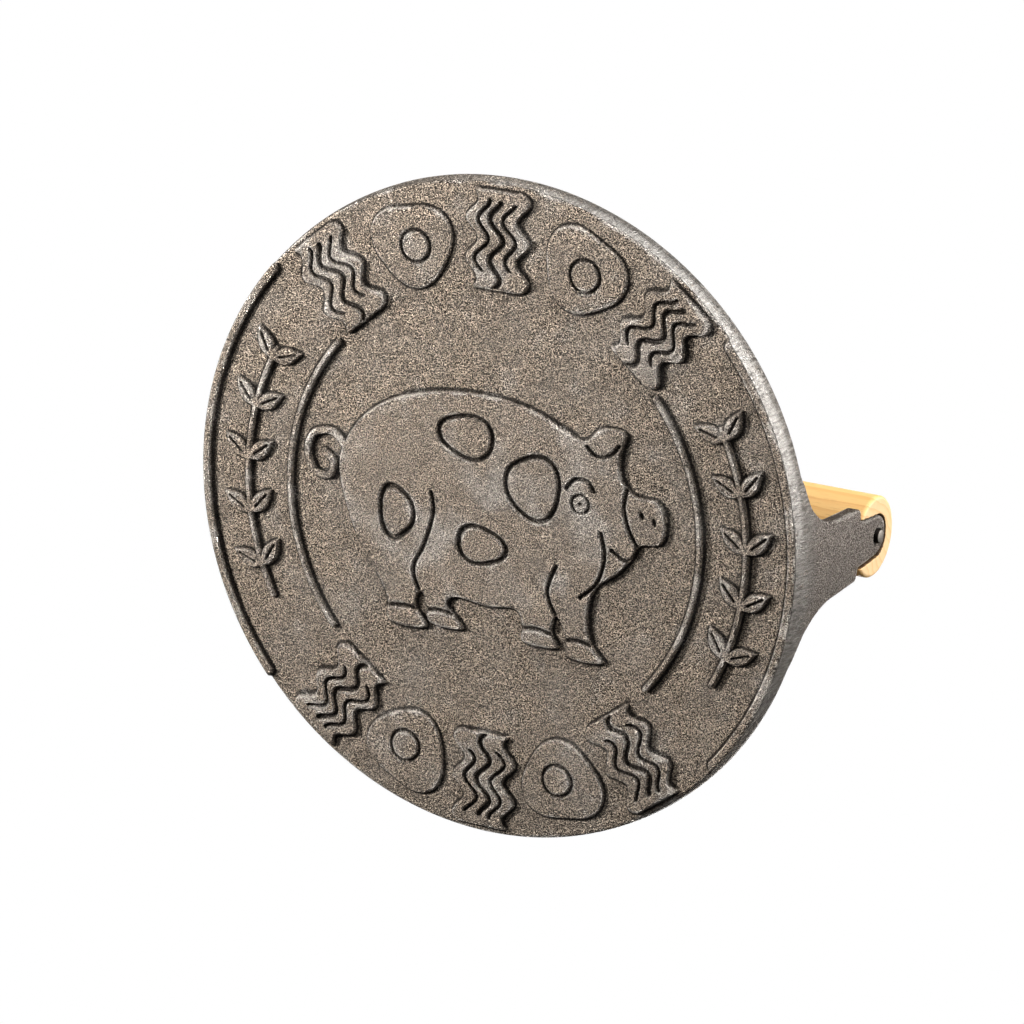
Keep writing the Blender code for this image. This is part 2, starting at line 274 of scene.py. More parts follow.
def mesh_object(name, points, faces, attributes=()):
    """A smooth mesh object from arrays of points, of quads or triangles, and of point values."""
    mesh = bpy.data.meshes.new(name)
    sizes = np.concatenate([np.full(len(f), f.shape[1]) for f in faces])
    corners = np.concatenate([f.ravel() for f in faces])
    mesh.vertices.add(len(points))
    mesh.vertices.foreach_set("co", points.astype(np.float32).ravel())
    mesh.loops.add(len(corners))
    mesh.loops.foreach_set("vertex_index", corners.astype(np.int32))
    mesh.polygons.add(len(sizes))
    mesh.polygons.foreach_set("loop_start", (np.cumsum(sizes) - sizes).astype(np.int32))
    mesh.update(calc_edges=True)
    mesh.validate()
    mesh.shade_smooth()
    for key, values in dict(attributes).items():
        stored = mesh.attributes.new(key, "FLOAT", "POINT")
        stored.data.foreach_set("value", np.clip(values, 0, 1).astype(np.float32))
    made = bpy.data.objects.new(name, mesh)
    bpy.context.scene.collection.objects.link(made)
    return made


# The ornament: each shape gives a signed distance, and some carry incised lines


BORDERS = (
    # radius, width, half angle
    (76.1 * MM, 2.3 * MM, math.radians(40.5)),
    (109.6 * MM, 5.0 * MM, math.radians(40.8)),
)
EMBLEM_RADIUS = 91.5 * MM
EMBLEM_ROWS = ((math.pi / 2, math.radians(20)), (-math.pi / 2, math.radians(18.5)))
EMBLEMS_IN_A_ROW = 5
EMBLEM_REACH = 22 * MM
RASHER_LENGTH = 33 * MM
RASHER_WIDTH = 19 * MM
RASHER_SWAY = 2.2 * MM
RASHER_WAVES = 2.5
RASHER_STREAKS = (
    # place across, share of the length, half width
    (-5.2 * MM, 0.70, 0.70 * MM),
    (-0.4 * MM, 0.84, 1.00 * MM),
    (4.9 * MM, 0.64, 0.70 * MM),
)
STREAK_DEPTH = 1.2 * MM
EGG_RADIUS = 14.2 * MM
YOLK_RADIUS = 5.4 * MM
YOLK_PLACE = (1.2 * MM, -0.9 * MM)
EGG_WHITE_DROP = 0.45 * MM
SPRIG_RADIUS = 92.5 * MM
SPRIG_HALF_SPAN = math.radians(28)
STEM_WIDTH = 2.2 * MM
LEAF_PAIRS = 5
LEAF_PITCH = math.radians(11.5)
LOWEST_LEAVES = math.radians(-21)
LEAF_SPREAD = math.radians(50)
LEAF_LENGTH = 12.0 * MM
LEAF_WIDTH = 5.8 * MM
TAIL_CENTRE = (-63 * MM, 10 * MM)
TAIL_LINE = [(8, 4), (3, 8), (-4, 6.5), (-6.5, 0), (-3.5, -6.5), (2, -7), (3.5, -2), (0, 0.5)]
TAIL_WIDTH = 2.6 * MM
TAIL_REACH = 13 * MM
PIG_REACH = 75 * MM
LINE_HALF_WIDTH = 0.75 * MM
LINE_DEPTH = 1.1 * MM
FINE_LINE_HALF_WIDTH = 0.5 * MM
FINE_LINE_DEPTH = 0.9 * MM


def turned(x, y, centre, angle):
    """Places in the own axes of a shape that stands at centre and is turned by angle."""
    dx = x - centre[0]
    dy = y - centre[1]
    c = math.cos(angle)
    s = math.sin(angle)
    return dx * c + dy * s, dy * c - dx * s


def bar_arc(x, y, radius, width, middle, half_angle):
    """A bent bar with round ends."""
    angle = np.abs((np.arctan2(y, x) - middle + math.pi) % (2 * math.pi) - math.pi)
    reach = half_angle - width / 2 / radius
    along = np.maximum(angle - reach, 0) * radius
    return np.hypot(np.hypot(x, y) - radius, along) - width / 2


def lobed_round(x, y, radius, lobes):
    """A round whose radius swells by (share, count, phase) lobes."""
    a = np.arctan2(y, x)
    swell = 1 + sum(share * np.sin(count * a + phase) for share, count, phase in lobes)
    return (np.hypot(x, y) - radius * swell) * 0.97


def groove(distance, half_width, depth):
    """How deep an incised line cuts at a distance from its middle."""
    return depth * (1 - smooth(distance, half_width * 0.35, half_width * 1.25))


def rasher(x, y):
    """A wavy strip of bacon with streaks along it."""
    phase = 2 * math.pi * RASHER_WAVES * (y / RASHER_LENGTH + 0.5)
    steep = RASHER_SWAY * 2 * math.pi * RASHER_WAVES / RASHER_LENGTH
    lean = 1 / np.sqrt(1 + (steep * np.cos(phase)) ** 2)
    across = x - RASHER_SWAY * np.sin(phase)
    sides = (np.abs(across) - RASHER_WIDTH / 2) * lean
    shape = round_max(sides, np.abs(y) - RASHER_LENGTH / 2, 1.2 * MM)
    cut = np.zeros_like(shape)
    for i, (offset, share, half_width) in enumerate(RASHER_STREAKS):
        wander = 0.6 * MM * np.sin(y / (5.0 * MM) + 1.7 * i)
        reach = np.abs(y - 1.5 * MM * (-1) ** i) - RASHER_LENGTH / 2 * share
        distance = np.hypot((across - offset - wander) * lean, np.maximum(reach, 0))
        cut = np.maximum(cut, groove(distance, half_width, STREAK_DEPTH))
    return shape, cut


def egg(x, y):
    """A fried egg with its yolk."""
    shape = lobed_round(x, y, EGG_RADIUS, ((0.09, 3, 0.5), (0.05, 2, 2.0)))
    yolk = np.hypot(x - YOLK_PLACE[0], y - YOLK_PLACE[1]) - YOLK_RADIUS
    white = EGG_WHITE_DROP * smooth(yolk, 0, 0.8 * MM)
    return shape, np.maximum(groove(np.abs(yolk), LINE_HALF_WIDTH, LINE_DEPTH), white)


def leaf(x, y):
    """An almond leaf with its root at the origin, its point along +x and a slit vein."""
    t = np.clip(x / LEAF_LENGTH, 0, 1)
    half = LEAF_WIDTH / 2 * np.sin(math.pi * t**0.85)
    beyond = np.maximum(np.maximum(-x, x - LEAF_LENGTH), 0)
    shape = np.hypot(np.maximum(np.abs(y) - half, 0), beyond)
    shape = np.where((beyond == 0) & (np.abs(y) < half), (np.abs(y) - half) * 0.85, shape)
    reach = np.maximum(np.abs(x - 0.52 * LEAF_LENGTH) - 0.26 * LEAF_LENGTH, 0)
    return shape, groove(np.hypot(y, reach), FINE_LINE_HALF_WIDTH, FINE_LINE_DEPTH)


def in_mm(points):
    """Points given in millimetres, in metres."""
    return [(a * MM, b * MM) for a, b in points]


def tail(x, y):
    """The pig's tail, which winds inward."""
    shape = line_distance(x, y, flowing(in_mm(TAIL_LINE))) - TAIL_WIDTH / 2
    return shape, np.zeros_like(shape)


def pig_outline():
    """A standing pig with its snout toward +x, from the rump over the back."""
    back = [(-57, 4), (-55.5, 15), (-48, 26), (-36, 34), (-20, 38.5), (-3, 40), (14, 38), (27, 33)]
    ear = [(34, 31), (40, 36), (48.5, 35.5), (47, 27)]
    snout = [(48, 20), (53, 15.5), (61, 15), (64, 9), (62.5, 1), (55, -1), (52, -6), (47, -12)]
    fore_legs = [
        (39.5, -18), (37, -27), (38.5, -37), (43, -43), (30, -43), (29, -36), (25.5, -30),
        (24, -36), (26, -41), (13.5, -41), (13, -35), (10, -30.5),
    ]
    belly = [(0, -31.5), (-12, -30.5)]
    hind_legs = [
        (-15, -34), (-9, -41), (-21.5, -41), (-23, -34), (-25.5, -31), (-27, -36), (-23, -43),
        (-37, -43), (-38, -35), (-43, -26), (-51, -14),
    ]
    return flowing(in_mm(back + ear + snout + fore_legs + belly + hind_legs), closed=True)


PIG_SPOTS = (
    # middle, width, height, tilt in degrees, in millimetres
    ((-9, 25), 19, 15, -8),
    ((-35, -5), 12, 18, 8),
    ((-3, -11), 17, 13, -5),
    ((16, 12), 19, 22, 12),
)
PIG_SPOT_LINE_HALF_WIDTH = 0.80 * MM
PIG_LINES = (
    # haunch, elbow, chest, mouth, ear crease, brow, snout, and the lines over the hooves
    [(-25.5, -31), (-28, -23), (-24, -14), (-21, -3), (-22, 4)],
    [(25.5, -30), (22, -22), (25, -13)],
    [(34, -22), (40, -16), (42.5, -7), (41, 1)],
    [(45, -4), (50, -6.5), (55, -4.5), (58, -1)],
    [(35, 29), (38.5, 26.5), (43.5, 27.5), (46.5, 31)],
    [(28, 14), (31, 17.5), (35.5, 17.5), (38, 14.5)],
    [(50, 18), (49, 11), (51, 4), (54, -1)],
    [(-38, -37.5), (-31, -36.6), (-26, -37.2)],
    [(-23, -36.6), (-18, -35.8), (-13.5, -36.4)],
    [(13, -36.2), (18.5, -35.4), (24, -36.4)],
    [(29.5, -37.4), (34, -36.6), (38.5, -37.6)],
)
PIG_EYE = (33.2, 9.5)
PIG_EYE_RADIUS = 3.1 * MM
PIG_NOSTRILS = ((55.5, 9.5), (60, 8))


def pig(x, y):
    """The pig's signed distance and the lines cut into it."""
    shape = outline_distance(x, y, pig_outline())
    cut = np.zeros_like(shape)
    for (middle_x, middle_y), wide, high, tilt in PIG_SPOTS:
        u, v = turned(x, y, (middle_x * MM, middle_y * MM), math.radians(tilt))
        lobes = ((0.07, 3, tilt), (0.05, 2, 1.0))
        spot = lobed_round(u / wide, v / high, 0.5 * MM, lobes) * min(wide, high)
        cut = np.maximum(cut, groove(np.abs(spot), PIG_SPOT_LINE_HALF_WIDTH, LINE_DEPTH))
    for line in PIG_LINES:
        near = line_distance(x, y, flowing(in_mm(line)))
        cut = np.maximum(cut, groove(near, LINE_HALF_WIDTH, LINE_DEPTH))
    eye = np.hypot(x - PIG_EYE[0] * MM, y - PIG_EYE[1] * MM)
    ring = np.abs(eye - PIG_EYE_RADIUS)
    cut = np.maximum(cut, groove(ring, FINE_LINE_HALF_WIDTH, FINE_LINE_DEPTH))
    cut = np.maximum(cut, groove(eye, 0.8 * MM, 0.7 * MM))
    for nostril_x, nostril_y in PIG_NOSTRILS:
        u, v = turned(x, y, (nostril_x * MM, nostril_y * MM), math.radians(15))
        cut = np.maximum(cut, groove(np.hypot(u, 0.5 * v), 0.8 * MM, FINE_LINE_DEPTH))
    return shape, cut


def raised(distance):
    """Height of a cast shape with steep walls, a rounded edge and a slightly domed top."""
    wall = smooth(-distance, -0.30 * MM, 0.50 * MM)
    dome = 1 - np.exp(-np.maximum(-distance - 0.3 * MM, 0) / (1.2 * MM))
    return RELIEF_HEIGHT * wall * (0.90 + 0.10 * dome)


def ornament_height(x, y):
    """Height of the ornament over the face's ground."""
    height = np.zeros_like(x)

    def add(shape, centre, angle, reach):
        """Adds a shape that stands at centre and ends within reach of it."""
        here = np.hypot(x - centre[0], y - centre[1]) < reach
        distance, cut = shape(*turned(x[here], y[here], centre, angle))
        rise = raised(distance)
        on_top = smooth(rise, 0.5 * RELIEF_HEIGHT, 0.95 * RELIEF_HEIGHT)
        rise = rise - np.minimum(cut, rise) * on_top
        height[here] = np.maximum(height[here], rise)

    def add_bar(*bar):
        """Adds a bent bar, given as in bar_arc."""
        np.maximum(height, raised(bar_arc(x, y, *bar)), out=height)

    for side in (0, math.pi):
        for radius, width, half_angle in BORDERS:
            add_bar(radius, width, side, half_angle)
        add_bar(SPRIG_RADIUS, STEM_WIDTH, side, SPRIG_HALF_SPAN)
        up = 1 if side == 0 else -1
        for i in range(LEAF_PAIRS):
            angle = side + up * (LOWEST_LEAVES + LEAF_PITCH * i)
            root = (SPRIG_RADIUS * math.cos(angle), SPRIG_RADIUS * math.sin(angle))
            for spread in (LEAF_SPREAD, -LEAF_SPREAD):
                add(leaf, root, angle + up * (math.pi / 2 + spread), LEAF_LENGTH + 2 * MM)
    for base, pitch in EMBLEM_ROWS:
        for i in range(EMBLEMS_IN_A_ROW):
            angle = base - (i - (EMBLEMS_IN_A_ROW - 1) / 2) * pitch
            centre = (EMBLEM_RADIUS * math.cos(angle), EMBLEM_RADIUS * math.sin(angle))
            add(egg if i % 2 else rasher, centre, angle - math.pi / 2, EMBLEM_REACH)
    add(pig, (0, 0), 0, PIG_REACH)
    add(tail, TAIL_CENTRE, 0, TAIL_REACH)
    return height


# The iron casting


def lug_outline():
    """A lug from its flared foot, past its shoulders, to the ear's tip."""
    half = [(0, 0), (LUG_FOOT[0], 0)] + bend(LUG_FOOT, LUG_FLARE, LUG_WAIST, 12)
    corner = (LUG_SHOULDER[0] - SHOULDER_ROUND, LUG_SHOULDER[1] - SHOULDER_ROUND)
    half += arc(SHOULDER_ROUND, 0, math.pi / 2, 6, centre=corner)
    half.append((EAR_BASE_HALF_WIDTH, LUG_SHOULDER[1]))
    return mirrored(half + ear_top(0))


def ear_top(room):
    """Half of the ear's rounded end, from its side to its tip, with room left round it."""
    centre = (EAR_TIP_HALF_WIDTH - EAR_TIP_ROUND, EAR_TIP_Z - EAR_TIP_ROUND)
    top = arc(EAR_TIP_ROUND + room, EAR_SIDE_LEAN, math.pi / 2, 10, centre=centre)
    return top + [(0, EAR_TIP_Z + room)]


LUG_OUTLINE = lug_outline()


def rim_radius(z):
    """The casting's outer radius: the rim's crowned side, then the lugs' outer faces."""
    below = np.maximum(RIM_WIDEST_Z - z, 0) / (RIM_WIDEST_Z - RELIEF_HEIGHT - EDGE_ROUND)
    rim = DISC_RADIUS - HAIR - (DISC_RADIUS - HAIR - FACE_EDGE_RADIUS) * below**2
    return rim + (LUG_OUTER_X - HAIR - rim) * smooth(z, PLATE_BACK_Z, PLATE_BACK_Z + 5 * MM)


def casting_field(x, y, z):
    """The plate above the seam with both lugs and their bores."""
    outline = outline_distance(y - MIDDLE_Y, z, LUG_OUTLINE)
    lug = round_max(outline, LUG_INNER_X - np.abs(x), LUG_EDGE_ROUND)
    body = round_min(z - PLATE_BACK_Z, lug, FOOT_FILLET)
    body = round_max(body, np.hypot(x, y) - rim_radius(z), LUG_EDGE_ROUND)
    bore = HOLE_RADIUS - np.hypot(y - MIDDLE_Y, z - ROD_AXIS_Z + HOLE_DROP)
    return round_max(body, bore, 0.4 * MM)


FACE_UNEVENNESS = (
    # depth, size, seed
    (0.07 * MM, 11 * MM, 1),
    (0.04 * MM, 3.2 * MM, 2),
    (0.05 * MM, 1.0 * MM, 7),
)
BACK_UNEVENNESS = 0.07 * MM


def face_sheet():
    """The pressing face: a square grid drawn out to a disc, with its border and its marks."""
    steps = np.linspace(-1, 1, SHEET_CELLS + 1)
    a, b = np.meshgrid(steps, steps, indexing="ij")
    wide = np.abs(a) > np.abs(b)
    radius = np.where(wide, a, b)
    safe = np.where(radius == 0, 1, radius)
    angle = np.where(wide, math.pi / 4 * b / safe, math.pi / 2 - math.pi / 4 * a / safe)
    x = SHEET_RADIUS * radius * np.cos(angle)
    y = SHEET_RADIUS * radius * np.sin(angle)
    height = ornament_height(x, -y)
    ground = np.stack([x.ravel(), y.ravel(), np.zeros(x.size)], axis=1)
    wave = sum(depth * unevenness(ground, size, seed) for depth, size, seed in FACE_UNEVENNESS)
    wave = wave.reshape(x.shape) - 0.05 * MM
    r = np.hypot(x, y)
    wave *= 1 - smooth(r, SHEET_RADIUS - 3 * MM, SHEET_RADIUS - MM)
    inward = np.clip(r - FACE_EDGE_RADIUS + EDGE_ROUND, 0, EDGE_ROUND)
    drop = EDGE_ROUND - np.sqrt(EDGE_ROUND**2 - inward**2)
    z = np.maximum(RELIEF_HEIGHT - height - wave + drop, 0)
    points = np.stack([x.ravel(), y.ravel(), z.ravel()], axis=1)
    number = np.arange(x.size).reshape(x.shape)
    corners = (number[:-1, :-1], number[:-1, 1:], number[1:, 1:], number[1:, :-1])
    quads = np.stack([c.ravel() for c in corners], axis=1)
    border = np.concatenate([number[:-1, 0], number[-1, :-1], number[:0:-1, -1], number[0, :0:-1]])
    border_share = smooth(r.ravel(), SHEET_RADIUS - 1.2 * MM, SHEET_RADIUS - 0.5 * MM)
    wear = edge_wear_and_corner_shade(z)
    cell = 2 * SHEET_RADIUS / SHEET_CELLS
    steep = np.hypot(*np.gradient(height, cell)).ravel()
    marks = {
        # Rubbed edges, and a painted highlight line along the face's border.
        "wear": np.maximum(wear, 0.9 * border_share),
        # Painted shade in the relief's inner corners.
        "corner_shade": -wear * (1 - border_share),
        # Steep walls, which the material paints with a sheen.
        "wall": smooth(steep, 0.5, 2.0),
        "top": height.ravel() / RELIEF_HEIGHT,
    }
    return points, quads, border, marks


def blurred(grid, reach):
    """A grid with each value replaced by the mean of those within reach."""
    for axis in (0, 1):
        rooms = [(reach + 1, reach) if k == axis else (0, 0) for k in (0, 1)]
        padded = np.pad(grid, rooms, mode="edge")
        total = np.cumsum(padded, axis=axis)
        size = grid.shape[axis]
        low = total.take(range(size), axis=axis)
        high = total.take(range(2 * reach + 1, 2 * reach + 1 + size), axis=axis)
        grid = (high - low) / (2 * reach + 1)
    return grid


def edge_wear_and_corner_shade(z):
    """Above 0 on the sheet's outer edges and below 0 in its corners."""
    near = blurred(blurred(z, 1), 1) - z
    far = blurred(blurred(z, 4), 4) - z
    return (near.ravel() / (0.10 * MM) + far.ravel() / (0.55 * MM)) / 2


def by_angle(numbers, points):
    """Point numbers in order round the axis, with their angles."""
    angles = np.arctan2(points[numbers, 1], points[numbers, 0])
    order = np.argsort(angles)
    return numbers[order], angles[order]


def laced(low, low_angles, high, high_angles):
    """Triangles between two rings of points in order round the axis."""
    low_next = np.append(low_angles[1:], low_angles[0] + 2 * math.pi)
    high_next = np.append(high_angles[1:], high_angles[0] + 2 * math.pi)
    triangles = []
    i = 0
    j = 0
    while i < len(low) or j < len(high):
        a = low[i % len(low)]
        b = high[j % len(high)]
        if j == len(high) or (i < len(low) and low_next[i] < high_next[j]):
            i += 1
            triangles.append((a, low[i % len(low)], b))
        else:
            j += 1
            triangles.append((a, high[j % len(high)], b))
    return np.array(triangles)


def open_edge(quads):
    """The points along a mesh's open edge."""
    sides = np.concatenate([quads[:, [k, (k + 1) % 4]] for k in range(4)])
    pairs, count = np.unique(np.sort(sides, axis=1), axis=0, return_counts=True)
    return np.unique(pairs[count == 1])


def rim_profile():
    """(radius, z) from the sheet's edge round to just below the seam."""
    centre = (FACE_EDGE_RADIUS - EDGE_ROUND, RELIEF_HEIGHT + EDGE_ROUND)
    start = math.acos((SHEET_RADIUS - centre[0]) / EDGE_ROUND)
    edge = [(a, 2 * centre[1] - b) for a, b in arc(EDGE_ROUND, start, 0, 4, centre=centre)[1:]]
    return edge + [(float(rim_radius(z)), z) for z in RIM_RING_HEIGHTS]


def toward(points, degrees, low, high):
    """1 on the side that lies so many degrees from +x toward -y, and 0 well away from it."""
    angle = np.arctan2(points[:, 1], points[:, 0])
    return smooth(np.cos(angle + math.radians(degrees)), low, high)


def make_casting():
    """The whole casting as one closed skin: face sheet, rim rings, then plate back and lugs."""
    sheet, sheet_quads, border, marks = face_sheet()
    border, angles = by_angle(border, sheet)
    turn = np.stack([np.cos(angles), np.sin(angles)], axis=1)
    points = [sheet]
    faces = [sheet_quads]
    count = len(sheet)
    ring = border
    profile = rim_profile()
    edge_z = sheet[border, 2]
    raised_share = 1 - smooth(edge_z, 0.5 * MM, RELIEF_HEIGHT)
    for i, (radius, z) in enumerate(profile):
        above = np.arange(count, count + len(ring))
        share = (i + 1) / len(profile)
        slant_radius = SHEET_RADIUS + (profile[-1][0] - SHEET_RADIUS) * share
        slant_z = edge_z + (profile[-1][1] - edge_z) * share
        ring_radius = radius + (slant_radius - radius) * raised_share
        ring_z = z + (slant_z - z) * raised_share
        points.append(np.column_stack([turn * ring_radius[:, None], ring_z]))
        faces.append(np.stack([ring, np.roll(ring, -1), np.roll(above, -1), above], axis=1))
        count += len(ring)
        ring = above
    rim_count = len(profile) * len(ring)

    fine = 0.45 * MM
    coarse = 1.3 * MM
    out_x = DISC_RADIUS + 2 * fine
    in_x = LUG_INNER_X - FOOT_FILLET - 2 * MM
    x_axis = lattice((-out_x, -in_x, fine), (-in_x, in_x, coarse), (in_x, out_x, fine))
    low_y = MIDDLE_Y - LUG_FOOT[0] - 2 * MM
    high_y = MIDDLE_Y + LUG_FOOT[0] + 2 * MM
    y_axis = lattice((-out_x, low_y, coarse), (low_y, high_y, fine), (high_y, out_x, coarse))
    z_axis = lattice((SEAM_Z, EAR_TIP_Z + 2 * fine, fine))
    field = casting_field(x_axis[:, None, None], y_axis[None, :, None], z_axis[None, None, :])
    upper, upper_quads = skin(field, (x_axis, y_axis, z_axis))
    upper, normals = settle(casting_field, upper)
    exposed = exposure(casting_field, upper, normals, 1.2 * MM)
    flat_rim = smooth(np.hypot(normals[:, 0], normals[:, 1]), 0.7, 0.95)
    rough = unevenness(upper, 9 * MM, 3) + 0.5 * unevenness(upper, 2.8 * MM, 4) - 1.2
    upper = upper + normals * (BACK_UNEVENNESS * rough * (1 - 0.8 * flat_rim))[:, None]
    edge = open_edge(upper_quads)
    edge, edge_angles = by_angle(edge, upper)
    faces.append(upper_quads + count)
    faces.append(laced(ring, angles, edge + count, edge_angles))
    points.append(upper)
    points = np.concatenate(points)

    ragged = upper[:, 2] + 2.5 * MM * unevenness(upper, 6 * MM, 5)
    ground = (1 - smooth(ragged, PLATE_BACK_Z - 1 * MM, PLATE_BACK_Z + 9 * MM)) * flat_rim
    ground *= np.hypot(upper[:, 0], upper[:, 1]) > LUG_OUTER_X - 0.6 * MM
    # Where the lugs' narrow sides are painted darker as shade.
    lug_side_shade = 1 - smooth(np.abs(normals[:, 0]), 0.5, 0.85)
    lug_side_shade *= smooth(upper[:, 2], PLATE_BACK_Z + 2 * MM, PLATE_BACK_Z + 8 * MM)
    crown = 1 - smooth(upper[:, 2], SEAM_Z, RIM_WIDEST_Z)

    def joined(*values):
        """Values for the sheet, the rim rings and the rest, one after the other."""
        sizes = (len(sheet), rim_count, len(upper))
        return np.concatenate([np.broadcast_to(v, size) for v, size in zip(values, sizes)])

    attributes = {
        # Rubbed edges, partly a painted highlight line: along the rim's rounding and, strongest,
        # along the edges of the back and lugs.
        "wear": joined(marks["wear"], 0.7, 7 * exposed),
        # Painted shade in inner corners.
        "corner_shade": joined(marks["corner_shade"], 0, -1.5 * exposed),
        "wall": joined(marks["wall"], 0, 0),
        "top": joined(marks["top"], 0, 0),
        # The ground rim is bare metal, and painted brighter toward the side that faces the light.
        "ground": joined(0, 1, ground) * (0.45 + 0.55 * toward(points, 25, 0.3, 0.85)),
        # Painted highlight on the rim's lower band, on the side that faces the light.
        "rim_sheen": joined(0, 1, crown) * toward(points, 50, 0.55, 0.92),
        # Painted shade on the lugs' narrow sides.
        "side": joined(0, 0, lug_side_shade),
    }
    casting = mesh_object("press_iron", points, faces, attributes)
    casting.data.materials.append(iron_material())
    return casting


# The grip and the rod


def slot_outline():
    """The lug's ear with room round it, open toward the plate."""
    wide = EAR_BASE_HALF_WIDTH + SLOT_ROOM
    open_z = GRIP_AXIS_Z - GRIP_RADIUS - 3 * MM
    half = [(0, open_z), (wide, open_z), (wide, LUG_SHOULDER[1])]
    return mirrored(half + ear_top(SLOT_ROOM))


SLOT_OUTLINE = slot_outline()


def grip_field(x, y, z):
    """A dowel with softened ends, a slot in each end and a bore along it."""
    out = np.hypot(y - MIDDLE_Y, z - GRIP_AXIS_Z)
    body = round_max(out - GRIP_RADIUS, np.abs(x) - GRIP_HALF_LENGTH, GRIP_END_ROUND)
    chewed = 0.14 * MM * np.sin(z / (0.55 * MM)) * np.sin(y / (0.8 * MM) + 1.3)
    slot = outline_distance(y - MIDDLE_Y, z, SLOT_OUTLINE) + chewed
    slot = np.maximum(slot, GRIP_HALF_LENGTH - SLOT_DEPTH - np.abs(x))
    body = round_max(body, -slot, 0.25 * MM)
    return np.maximum(body, ROD_RADIUS + BORE_ROOM - np.hypot(y - MIDDLE_Y, z - ROD_AXIS_Z))


def make_grip():
    """The grip as one skin, with painted shade marked round the slots and a mark for the ends."""
    fine = 0.42 * MM
    coarse = 1.6 * MM
    out_x = GRIP_HALF_LENGTH + 2 * fine
    in_x = GRIP_HALF_LENGTH - SLOT_DEPTH - 2 * MM
    reach = GRIP_RADIUS + 2 * fine
    x_axis = lattice((-out_x, -in_x, fine), (-in_x, in_x, coarse), (in_x, out_x, fine))
    y_axis = lattice((MIDDLE_Y - reach, MIDDLE_Y + reach, fine))
    z_axis = lattice((GRIP_AXIS_Z - reach, GRIP_AXIS_Z + reach, fine))
    field = grip_field(x_axis[:, None, None], y_axis[None, :, None], z_axis[None, None, :])
    points, quads = skin(field, (x_axis, y_axis, z_axis))
    points, normals = settle(grip_field, points)
    from_slot = outline_distance(points[:, 1] - MIDDLE_Y, points[:, 2], SLOT_OUTLINE)
    # Painted shade on the wood next to the slots.
    slot_shade = 1 - smooth(from_slot, 0.05 * MM, 0.35 * MM)
    slot_shade *= np.abs(points[:, 0]) > GRIP_HALF_LENGTH - SLOT_DEPTH - 0.5 * MM
    stretched = points / np.array([12, 1, 1])
    grain = unevenness(stretched, 2.4 * MM, 6) - 1
    points = points + normals * (WOOD_UNEVENNESS * grain)[:, None]
    grip = mesh_object("grip_wood", points, [quads], {"slot_shade": slot_shade, "end": normals[:, 0] ** 2})
    grip.data.materials.append(wood_material())
    return grip


def make_rod():
    """A steel rod with a chamfer and a slight dome at each end."""
    chamfer = 0.5 * MM
    dome = 0.25 * MM
    steps = 72
    face = ROD_RADIUS - chamfer
    half = [(ROD_RADIUS, 0.1), (ROD_RADIUS, ROD_HALF_LENGTH - dome - chamfer)]
    half += [(ROD_RADIUS - chamfer * 0.3, ROD_HALF_LENGTH - dome - chamfer * 0.3)]
    for i in range(5):
        share = 1 - i / 5
        half.append((face * share, ROD_HALF_LENGTH - dome * share**2))
    profile = [(r, -x) for r, x in half[::-1]] + half
    profile = [(r, x) for r, x in profile if abs(x) != 0.1]
    angles = np.linspace(0, 2 * math.pi, steps, endpoint=False)
    rings = []
    for r, x in profile:
        y = MIDDLE_Y + r * np.cos(angles)
        z = ROD_AXIS_Z + r * np.sin(angles)
        rings.append(np.stack([np.full(steps, x), y, z], axis=1))
    ends = np.array([[side * ROD_HALF_LENGTH, MIDDLE_Y, ROD_AXIS_Z] for side in (-1, 1)])
    points = np.concatenate(rings + [ends])
    faces = []
    for i in range(len(profile) - 1):
        a = np.arange(steps) + i * steps
        b = a + steps
        faces.append(np.stack([a, np.roll(a, -1), np.roll(b, -1), b], axis=1))
    first = np.arange(steps)
    last = first + (len(profile) - 1) * steps
    low = np.full(steps, len(points) - 2)
    high = np.full(steps, len(points) - 1)
    faces.append(np.stack([low, np.roll(first, -1), first], axis=1))
    faces.append(np.stack([high, last, np.roll(last, -1)], axis=1))
    cut = np.concatenate([np.full(steps, float(r <= face)) for r, x in profile] + [[1.0, 1.0]])
    rod = mesh_object("rod_steel_bar", points, faces, {"cut": cut})
    rod.data.materials.append(steel_material())
    return rod


# Materials


